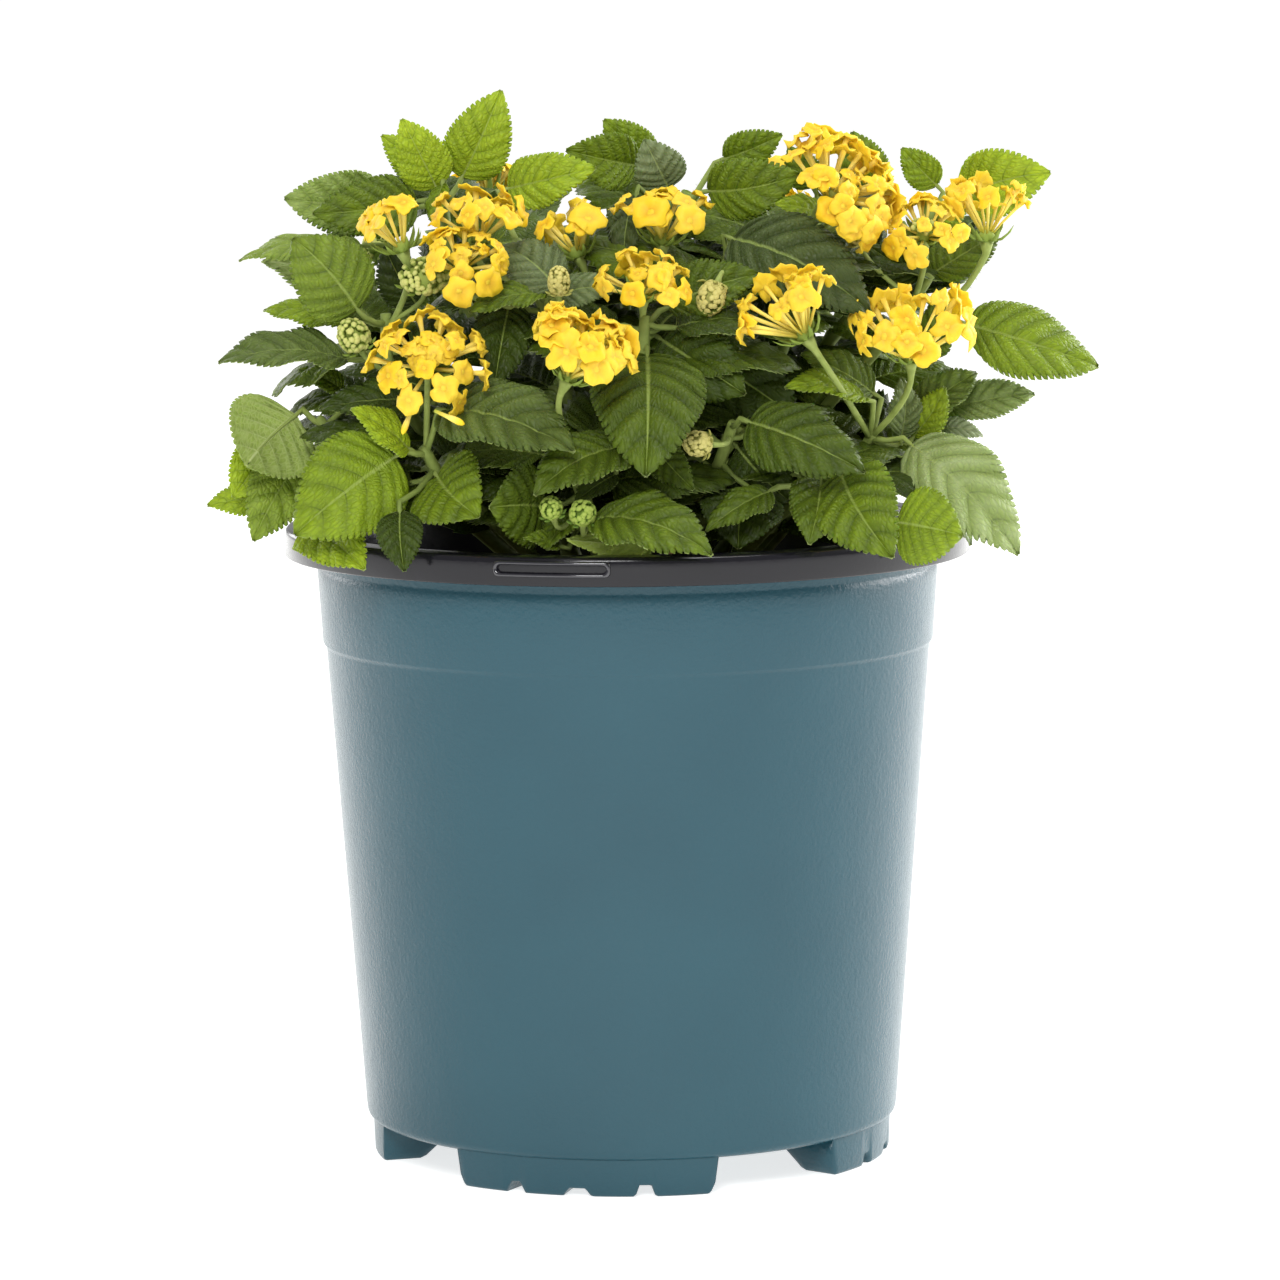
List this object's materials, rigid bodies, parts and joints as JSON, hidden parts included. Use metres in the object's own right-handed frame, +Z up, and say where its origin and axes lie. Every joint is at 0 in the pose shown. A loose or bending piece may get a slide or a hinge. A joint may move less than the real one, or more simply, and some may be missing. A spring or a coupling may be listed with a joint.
{
  "type": "potted lantana",
  "caption": "Young yellow-flowered lantana: toothed leaves on square stems under domed flower heads, in a round tapered nursery pot with a flared rim.",
  "frame": {"origin": "on the surface under the feet, below the middle of the whole object's box", "axes": "+Z up, the side with the most heads faces -Y, +X to its right"},
  "size_m": [0.2218, 0.188, 0.2679],
  "materials": {
    "pot_plastic": "semi-gloss moulded",
    "mix": "loose bark and peat",
    "foliage": "rough, finely hairy",
    "petal": "satin",
    "bud": "matte"
  },
  "bodies": {
    "root": {"pot": "pot_plastic", "potting_mix": "mix", "shoot_low_left": "foliage", "shoot_front_left": "foliage", "shoot_left": "foliage", "shoot_top_left": "foliage", "shoot_upper_middle": "foliage", "shoot_centre": "foliage", "shoot_front_low": "foliage", "shoot_top_middle": "foliage", "shoot_middle_right": "foliage", "shoot_upper_right": "foliage", "shoot_low_right": "foliage", "shoot_front_right": "foliage", "shoot_right": "foliage", "shoot_top_right": "foliage", "shoot_far_right": "foliage", "shoot_outer_right": "foliage", "shoot_back_1": "foliage", "shoot_back_2": "foliage", "shoot_back_3": "foliage", "shoot_back_4": "foliage", "shoot_back_5": "foliage", "bloom_1": "petal", "bloom_2": "petal", "bloom_3": "petal", "bloom_4": "petal", "bloom_5": "petal", "bloom_6": "petal", "bloom_7": "petal", "bloom_8": "petal", "bloom_9": "petal", "bloom_10": "petal", "bloom_11": "petal", "bloom_12": "petal", "bloom_13": "petal", "bloom_14": "petal", "bloom_15": "petal", "bloom_16": "petal", "buds_1": "bud", "buds_2": "bud", "buds_3": "bud", "buds_4": "bud", "buds_5": "bud", "buds_6": "bud", "buds_7": "bud", "buds_8": "bud", "buds_9": "bud"}
  },
  "joints": []
}
